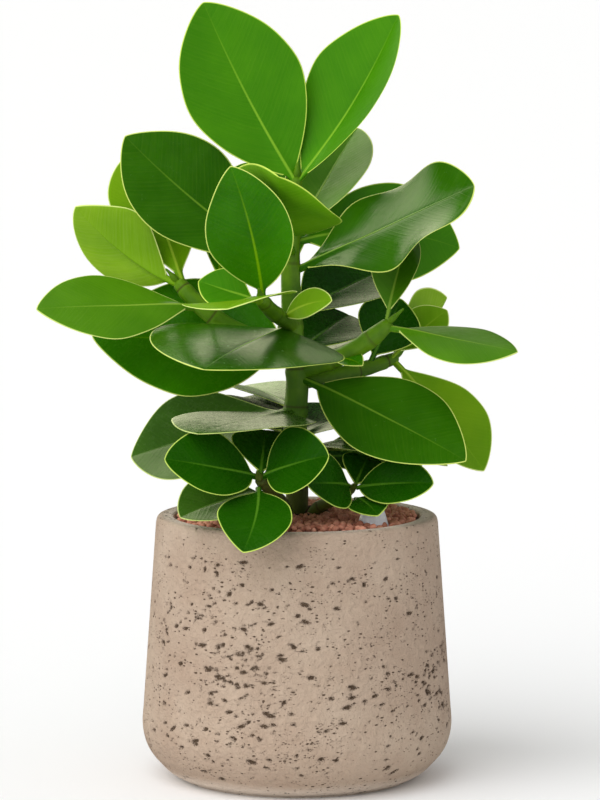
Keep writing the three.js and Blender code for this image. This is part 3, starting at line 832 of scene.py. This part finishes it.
def makeBark():
    material, tree, shader = newMaterial("greenBark", **{"Specular IOR Level": 0.35})
    place = objectPlace(tree)
    patches = mottle(tree, place, 55.0, 420.0, 0.3)
    along = axes(tree, attribute(tree, "shoot", "Vector"))
    drawnOut = {0: times(tree, along[0], 0.02), 1: times(tree, along[1], 14.0)}
    streakPlace = addNode(tree, "CombineXYZ", drawnOut).outputs[0]
    streaks = noise(tree, streakPlace, 2.0, 3.0)
    level = axes(tree, place)[2]
    colour = mixColour(tree, patches["Mottle"], rgb("3d6a04"), rgb("67920e"))
    colour = mixColour(tree, ramp(tree, streaks, 0.35, 0.7, 0.0, 0.4), colour, rgb("4d7a08"))
    woody = ramp(tree, level, 0.236, 0.196)
    colour = mixColour(tree, times(tree, woody, 0.75), colour, rgb("4d4a22"))
    colour = mixColour(tree, times(tree, attribute(tree, "ring"), 0.85), colour, rgb("3a2412"))
    setFinish(tree, shader, colour, patches["Grain"], 0.34, 0.55)
    height = plus(tree, times(tree, streaks, 0.7), times(tree, patches["Grain"], 0.3))
    bump(tree, shader, height, 0.0003, 0.6)
    return material


bark = makeBark()


def addShoots(name, names, buds, *nodes):
    parts = [shootSurface(shoots[key]) for key in names] + [budSurface(*bud) for bud in buds]
    points, squares, fans, ring, along = joinSurfaces(parts)
    mesh = makeMesh(name, points, squares, fans, {"ring": ring, "shoot": along})
    return addPiece(mesh, bark, "green_stem", *nodes)


# Each bud: where it starts, its point and its radius.
upperBuds = [
    [[0, 0, 386], [0.5, -1, 397], 2.6], [[57, -15, 294], [68, -22, 305], 2.2],
    [[-22, -66, 313], [-24, -74, 322], 2.6], [[-76, -2, 320], [-84, -4, 329], 2.2],
    [[63, 38, 267], [72, 42, 275], 2],
]
addShoots("green_stems", ["main", "left", "right", "back_right", "upper_front"], upperBuds, "stem")
addShoots("low_front_shoot", ["low_front"], [[[-23, -68, 201], [-25, -77, 208], 2.6]], "low_front_stem")
addShoots("low_right_shoot", ["low_right"], [[[35, -35, 191], [37, -43, 196], 2.2]], "low_right_stem")
print("stems and buds grown")

# ---- leaves ----
# from: where the stalk leaves the shoot; to: the leaf's point; face: the way its upper side looks; width: of
# the blade. belly: where it is widest; blunt: how slowly it widens from its ends, a smaller number being
# rounder; fold: how far each half is raised from the rib, left then right, in degrees; cup: how much more
# each half turns towards its margin; arch and sweep: the rib's bend upwards and to its right; twist: turn
# from stalk to point; wave: height, cycles and start of the margin's ripple; stalk: its length; look: its
# finish.
leafDefaults = {
    "belly": 0.56, "blunt": 0.78, "fold": 6, "cup": 12, "arch": 3, "sweep": 0, "twist": 0,
    "wave": [0, 1, 0], "stalk": 9,
}
leafSettings = {
    "rows": 58,
    "blade": 1.1,
    "petioleThick": 4.6,
    "petioleWide": 5.2,
    "fullWidth": 62,
    "quilt": 0.22,
    "across": [0, 0.012, 0.03, 0.06, 0.11, 0.19, 0.29, 0.4, 0.51, 0.62, 0.72, 0.81, 0.88, 0.935, 0.97, 0.99],
    "seed": 21,
}


def newLeaf(start, end, face, width, look="deep", **more):
    return {**leafDefaults, **more, "from": start, "to": end, "face": face, "width": width, "look": look}


leaves = {
    "top_left": newLeaf([-1, 0, 384], [-60, 16, 498], [0.1, -1, 0.2], 80, "fresh", fold=5, cup=10, arch=-3,
        sweep=-2, stalk=5, blunt=0.72, belly=0.53),
    "top_right": newLeaf([1, 0, 384], [65, 20, 490], [-0.45, -0.85, 0.2], 73, "fresh", fold=[8, 38], cup=6,
        arch=-3, sweep=3, stalk=5, blunt=0.7),
    "upper_front": newLeaf([-3, -2, 338], [-11, -96, 392], [0.45, 0.3, 0.85], 78, "fresh", cup=18, arch=-4,
        wave=[5, 1.35, 0.62], stalk=34, belly=0.5, blunt=0.62),
    "upper_back": newLeaf([-2, 2, 344], [40, 62, 416], [-0.4, -0.75, 0.5], 60, "leafy"),
    "upper_left": newLeaf([-5, 0, 328], [-110, 6, 413], [-0.1, -0.9, 0.45], 70, "dark", fold=8, sweep=-5,
        belly=0.6),
    "upper_right": newLeaf([-3, 0, 326], [112, -32, 383], [-0.3, -0.5, 0.85], 82, "dark", fold=[2, -5],
        cup=[12, 6], arch=0, sweep=-1, twist=4, wave=[7, 1.75, 0.68], belly=0.61, blunt=0.62),
    "upper_shade": newLeaf([-3, 7, 344], [106, 49, 338], [-0.05, -0.9, 0.4], 68, "fresh", sweep=-9, fold=2,
        cup=4),
    "middle_front": newLeaf([-3, -2, 290], [-57, -116, 275], [0.1, -0.06, 1], 130, "dark", fold=0, cup=-6,
        arch=4, belly=0.5, wave=[4, 0.5, 0.85]),
    "middle_back": newLeaf([-3, 2, 296], [60, 88, 322], [-0.1, -0.7, 0.7], 60, "painted_shade"),
    "middle_shade": newLeaf([0, 2, 272], [34, 68, 293], [-0.1, -0.8, 0.5], 50, "painted_shade"),
    "waist_right": newLeaf([2, -2, 258], [106, -62, 212], [0.1, -0.72, 0.68], 69, "dark", fold=2, cup=4,
        arch=2, sweep=-1, belly=0.5, stalk=14),
    "waist_left": newLeaf([-2, 0, 282], [-132, 10, 284], [0, -0.85, 0.5], 84, fold=2, cup=4, belly=0.44,
        arch=0),
    "lower_front": newLeaf([-1, -2, 236], [-61, -95, 233], [0, 0, 1], 97, "painted_sheen_grey", fold=0, cup=-2,
        belly=0.5, arch=2, wave=[2.5, 0.5, 0.85]),
    "lower_back": newLeaf([-1, 2, 228], [-36, 72, 238], [0.3, -0.6, 0.7], 52, "painted_shade"),
    "lower_left": newLeaf([-1, 0, 238], [-108, 25, 204], [-0.25, -0.65, 0.7], 74, "painted_sheen_grey", belly=0.62,
        arch=1, cup=4),
    "lower_right": newLeaf([0, 0, 214], [96, -22, 204], [0.1, -0.1, 1], 60, "painted_sheen_grey"),
    "left_outer": newLeaf([-75, -2, 318], [-142, 8, 368], [0.25, 0.85, 0.4], 56, "lime", belly=0.52,
        sweep=8),
    "left_back": newLeaf([-73, 0, 317], [-106, 58, 402], [0.2, -0.95, 0.3], 62, "lime"),
    "left_front": newLeaf([-62, -6, 304], [-164, -45, 306], [-0.05, -0.5, 0.87], 66, "leafy", arch=2,
        fold=[-8, 3], cup=4),
    "left_inner": newLeaf([-54, -6, 300], [-46, 34, 372], [0.3, -0.8, 0.4], 34, stalk=26),
    "crest": newLeaf([-21, -62, 312], [-41, -84, 398], [-0.05, -1, 0.25], 58, fold=[4, 20], cup=16,
        belly=0.5, sweep=3, blunt=0.74),
    "crest_left": newLeaf([-20, -58, 311], [-62, -46, 324], [0.1, -0.75, 0.65], 32, "fresh", cup=4, arch=0),
    "crest_front": newLeaf([-22, -64, 313], [-42, -132, 313.5], [-0.18, 0, 1], 74, "lime", cup=2, fold=2,
        wave=[2, 1, 0.3]),
    "crest_right": newLeaf([-9, -24, 298], [22, -50, 312], [-0.2, -0.8, 0.5], 21, "lime", stalk=4,
        blunt=0.62, sweep=-2, cup=4),
    "right_point": newLeaf([56, -15, 292], [139, -45, 279], [0, -0.4, 0.9], 58, "leafy", fold=[-10, 0],
        cup=-2, arch=1),
    "right_upright": newLeaf([57, -15, 294], [72, 8, 350], [-0.3, -0.9, 0.3], 41, "leafy", fold=30),
    "right_back": newLeaf([46, 30, 262], [68, 38, 306], [0, -1, 0.3], 44, "painted_shade"),
    "right_bract": newLeaf([22, -5, 270], [42, -20, 268], [0.2, -0.6, 0.7], 18, stalk=4),
    "right_low": newLeaf([62, 38, 266], [121, 15, 196], [0.3, -0.7, 0.6], 56, "lime"),
    "right_lime": newLeaf([63, 39, 268], [99, 76, 304], [0, 0.7, 0.6], 44, "lime"),
    "right_olive": newLeaf([60, 35, 266], [98, 46, 298], [0, -0.8, 0.6], 30, "lime"),
    "right_hanging": newLeaf([40, 26, 262], [56, 30, 215], [0, -0.9, 0.35], 48, "leafy"),
    "rosette_left": newLeaf([-26, -69, 203], [-82, -93, 217], [-0.1, -0.75, 0.65], 50, "painted_shade", stalk=3,
        sweep=-1, blunt=0.62, belly=0.5),
    "rosette_right": newLeaf([-21, -69, 203], [20, -83, 218], [0.1, -0.75, 0.65], 50, "painted_shade", stalk=3,
        blunt=0.62, belly=0.48),
    "rosette_front": newLeaf([-24, -73, 196], [-33, -122, 163], [0, -0.65, 0.75], 48, "painted_shade", stalk=5,
        sweep=-3, blunt=0.68, belly=0.52),
    "rosette_back": newLeaf([-23, -65, 202], [-20, -30, 228], [0, -1, 0.3], 42, "painted_shade", stalk=4),
    "rim_left": newLeaf([-16, -48, 190], [-73, -74, 178], [-0.1, -0.5, 0.85], 48, "painted_sheen_grey", blunt=0.62,
        sweep=1),
    "tuft_left": newLeaf([33, -37, 193], [6, -66, 198], [0.3, -0.8, 0.5], 40, "painted_shade", stalk=2, blunt=0.62,
        belly=0.5),
    "tuft_right": newLeaf([38, -38, 192], [86, -55, 197], [0.1, -0.8, 0.55], 34, "painted_shade", stalk=2,
        blunt=0.62, belly=0.52),
    "tuft_front": newLeaf([37, -37, 185], [51, -60, 177], [0, -0.5, 0.85], 30, "painted_shade", stalk=3,
        blunt=0.68),
    "tuft_back": newLeaf([36, -32, 190], [46, -4, 208], [0, -0.9, 0.5], 30, "painted_shade", stalk=4),
    "low_back": newLeaf([0, 2, 205], [86, 46, 202], [0, -0.75, 0.6], 40, "painted_shade"),
    "back_pale": newLeaf([-1, 2, 236], [-36, 88, 244], [0, 0, 1], 50),
    "back_tall": newLeaf([-3, 2, 320], [-34, 92, 392], [0.2, -0.6, 0.7], 62),
    "back_low": newLeaf([1, 2, 218], [44, 92, 226], [0, -0.3, 1], 54, "painted_shade"),
    "back_left": newLeaf([-1, 2, 222], [-66, 78, 222], [0, -0.2, 1], 50, "painted_shade"),
    "waist_back": newLeaf([1, 2, 264], [24, 98, 284], [0, -0.5, 0.85], 58),
}


def spread(value):
    return value if isinstance(value, (list, tuple)) else [value, value]


# A leaf's skin. The rib is a quadratic curve from stalk to point. Across it each half is an arc that starts
# at the fold angle and turns by the cup angle; the half width follows a blunted sine along the blade. The
# two skins stand half the thickness above and below, and meet in a rounded margin.
def leafSurface(leaf, random):
    s = leafSettings
    start, end, face = (np.array(leaf[key], float) for key in ("from", "to", "face"))
    chord = end - start
    side = unit(np.cross(chord, face))
    up = unit(np.cross(side, chord))
    bend = start + chord * 0.5 + up * 2 * leaf["arch"] + side * 2 * leaf["sweep"]
    t = np.linspace(0, 1, 200)[:, None]
    trace = (1 - t) ** 2 * start + 2 * t * (1 - t) * bend + t**2 * end
    length = np.linalg.norm(np.diff(trace, axis=0), axis=1).sum()
    stalkShare = leaf["stalk"] / length

    blade = (1 - np.cos(np.linspace(0.06, 0.985, s["rows"]) * pi)) / 2
    blade = stalkShare + blade * (1 - stalkShare)
    along = np.concatenate([np.linspace(0, stalkShare, 7)[:-1], blade])[:, None]
    halfSteps = np.array(s["across"])
    top = np.concatenate([-halfSteps[:0:-1], halfSteps])
    across = np.concatenate([[-1], top, [1], top[::-1]])
    layer = np.concatenate([[0], np.ones(len(top)), [0], -np.ones(len(top))])

    rib = (1 - along) ** 2 * start + 2 * along * (1 - along) * bend + along**2 * end
    tangent = unit(2 * (1 - along) * (bend - start) + 2 * along * (end - bend))
    sideAt = unit(np.cross(tangent, face))
    turn = np.radians(leaf["twist"] * (along - 0.5))
    sideAt = sideAt * np.cos(turn) + np.cross(tangent, sideAt) * np.sin(turn)
    upAt = np.cross(sideAt, tangent)

    share = np.clip((along - stalkShare) / (1 - stalkShare), 0, 1)
    power = log(0.5) / log(leaf["belly"])
    phase = random.uniform(0, 2 * pi, 6)
    unruly = 1 + 0.008 * np.sin(9 * share + phase[0]) + 0.006 * np.sin(21 * share + phase[1])
    bladeHalf = leaf["width"] / 2 * np.sin(pi * share**power).clip(0) ** leaf["blunt"] * unruly
    stalkLeft = 1 - smoothStep(stalkShare, stalkShare + 0.45, along)
    sturdy = min(1, leaf["width"] / s["fullWidth"])
    half = np.hypot(bladeHalf, s["petioleWide"] / 2 * sturdy * stalkLeft)

    right = across >= 0
    fold = np.radians(np.where(right, spread(leaf["fold"])[1], spread(leaf["fold"])[0]))
    cup = np.radians(np.where(right, spread(leaf["cup"])[1], spread(leaf["cup"])[0])) + 1e-4
    reach = np.abs(across)
    out = half * np.sin(cup * reach) / cup
    rise = half * (1 - np.cos(cup * reach)) / cup
    sideways = (out * np.cos(fold) - rise * np.sin(fold)) * np.sign(across)
    height, cycles, begin = leaf["wave"]
    fullness = bladeHalf / (leaf["width"] / 2)
    ripple = height * reach**2 * np.sin(2 * pi * (cycles * along + begin + 0.25 * right))
    fine = np.sin(along * length / 6.3 - reach * 4 + phase[2])
    broad = np.sin(along * length / 14 + across * 3 + phase[3])
    quilt = s["quilt"] * fullness * reach * (fine + 0.8 * broad)
    upward = out * np.sin(fold) + rise * np.cos(fold) + ripple * fullness + quilt

    dist = np.abs(sideways)
    closing = np.sqrt(np.clip(1 - share**30, 0, 1))
    middle = np.exp(-((dist / (s["petioleWide"] * 0.62)) ** 2))
    extra = s["petioleThick"] * sturdy - s["blade"]
    thick = s["blade"] + extra * stalkLeft * np.where(share > 0, middle, 1)
    edge = np.sqrt(np.clip(1 - reach ** (2 + 4 * (1 - stalkLeft)), 0, 1))
    furrow = np.where(layer > 0, -0.32, 0.75) * np.exp(-((dist / 1.5) ** 2))
    ribbing = furrow * (1 - share) ** 0.6 * (1 - stalkLeft)
    skin = layer * (thick * edge * closing / 2 + ribbing * (reach < 0.99))
    points = rib[:, None] + sideAt[:, None] * sideways[..., None]
    points = points + upAt[:, None] * (upward + skin)[..., None]

    # how far each point is from the margin, square to it
    run = along[:, 0] * length
    slope = np.gradient(half[:, 0], run)[:, None]
    toMargin = (1 - reach) * half / np.sqrt(1 + slope**2)
    toMargin = np.where(share > 0.02, toMargin, 9)
    fromStalk = np.repeat(run[:, None] - leaf["stalk"], len(across), 1)
    place = np.stack([sideways, fromStalk, toMargin], -1).reshape(-1, 3)
    shares = np.repeat(share, len(across), 1).ravel()
    skins = np.tile((layer + 1) / 2, len(along))
    points, squares, fans = closedTube(points, start, end)
    ends = np.array([[0, -leaf["stalk"], 9], [0, length - leaf["stalk"], 0]])
    marks = {
        "leafPlace": np.concatenate([place, ends]),
        "leafShare": np.concatenate([shares, [0, 1]]),
        "leafSkin": np.concatenate([skins, [0.5, 0.5]]),
    }
    return points, squares[:, ::-1], fans[:, ::-1], marks


youngLooks = ("lime", "fresh")
leafLooks = {
    # upper dark, upper light, rib, margin, under dark, under light, gloss roughness
    "deep": ["246400", "367c00", "86b400", "cfe070", "3f7a08", "5f9a12", 0.24],
    "dark": ["1f5200", "306604", "7ba42c", "cbdc6c", "3a6c08", "548a14", 0.2],
    "fresh": ["357800", "438600", "8fc030", "c5de5c", "4c8804", "68a00a", 0.4],
    # yellow-green of young leaves, made brighter as painted light shining through the blade
    "lime": ["619600", "78a806", "b4d23c", "d8ea86", "6a9a06", "84b010", 0.42],
    "leafy": ["3f7604", "4f8608", "98bc40", "cfe078", "4f8208", "68981a", 0.34],
    # a greyer copy of the leaf greens for leaves that face up: painted sheen
    "painted_sheen_grey": ["2a4f0c", "3c6418", "86a850", "c2d37a", "4a7014", "6c9034", 0.24],
    # a darker copy of the leaf greens for leaves that lie in shade: painted shade
    "painted_shade": ["134600", "1c5400", "5f9424", "c2da62", "2c5f06", "447a1c", 0.26],
}


def makeLeafFinish(name, colours):
    dark, light, ribTone, edgeTone, underDark, underLight, gloss = colours
    shine = 0.16 if name in youngLooks else 0.28
    material, tree, shader = newMaterial("leaf_" + name, **{"Specular IOR Level": shine})
    place = attribute(tree, "leafPlace", "Vector")
    share = attribute(tree, "leafShare")
    lines = {"Spacing": 3.4, "Slant": 0.55, "Rib Width": 1.0, "Margin Width": 0.9}
    veins = useGroup(tree, veinGroup, {"Place": place, "Share": share, **lines})
    patches = mottle(tree, objectPlace(tree), 22.0, 260.0, 0.25)
    upper = mixColour(tree, patches["Mottle"], rgb(dark), rgb(light))
    upper = mixColour(tree, times(tree, veins["Veins"], 0.06), upper, rgb(ribTone))
    upper = mixColour(tree, times(tree, veins["Rib"], 0.62), upper, rgb(ribTone))
    under = mixColour(tree, patches["Mottle"], rgb(underDark), rgb(underLight))
    under = mixColour(tree, times(tree, veins["Veins"], 0.07), under, rgb(edgeTone))
    under = mixColour(tree, times(tree, veins["Rib"], 0.7), under, rgb(underDark))
    colour = mixColour(tree, ramp(tree, attribute(tree, "leafSkin"), 0.35, 0.65), under, upper)
    colour = mixColour(tree, veins["Margin"], colour, rgb(edgeTone))
    setFinish(tree, shader, colour, patches["Grain"], gloss - 0.05, gloss + 0.08, 0.25, 0.75)
    bump(tree, shader, veins["Height"], 0.0005, 0.5)
    return material


finishes = {name: makeLeafFinish(name, colours) for name, colours in leafLooks.items()}
leafRandom = np.random.default_rng(leafSettings["seed"])
for leafName, leaf in leaves.items():
    leafMesh = makeMesh("blade_" + leafName, *leafSurface(leaf, leafRandom))
    leafSlot = "young_leaf" if leaf["look"] in youngLooks else "leaf"
    addPiece(leafMesh, finishes[leaf["look"]], leafSlot, "leaf_" + leafName)
print(len(leaves), "leaves grown")

# ---- hidden parts that keep their own shape ----
def dress(node, material):
    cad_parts[node].data.materials.clear()
    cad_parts[node].data.materials.append(material)


def makePlastic(name, dark, light, rough):
    material, tree, shader = newMaterial(name)
    place = objectPlace(tree)
    patches = mottle(tree, place, 40.0, 600.0, 0.4)
    colour = mixColour(tree, patches["Mottle"], rgb(dark), rgb(light))
    setFinish(tree, shader, colour, patches["Grain"], rough - 0.08, rough + 0.1)
    bump(tree, shader, patches["Grain"], 0.0001, 0.4)
    return material


dress("culture_pot", makePlastic("nurseryPlastic", "1d1d20", "2f2f33", 0.5))
dress("root_ball", makeEarth("rootFibre", "2b1c10", "6b4a2c", 110.0))
dress("gauge_float", makePlastic("redFloat", "9c1a14", "c22a20", 0.35))
print("hidden parts dressed")
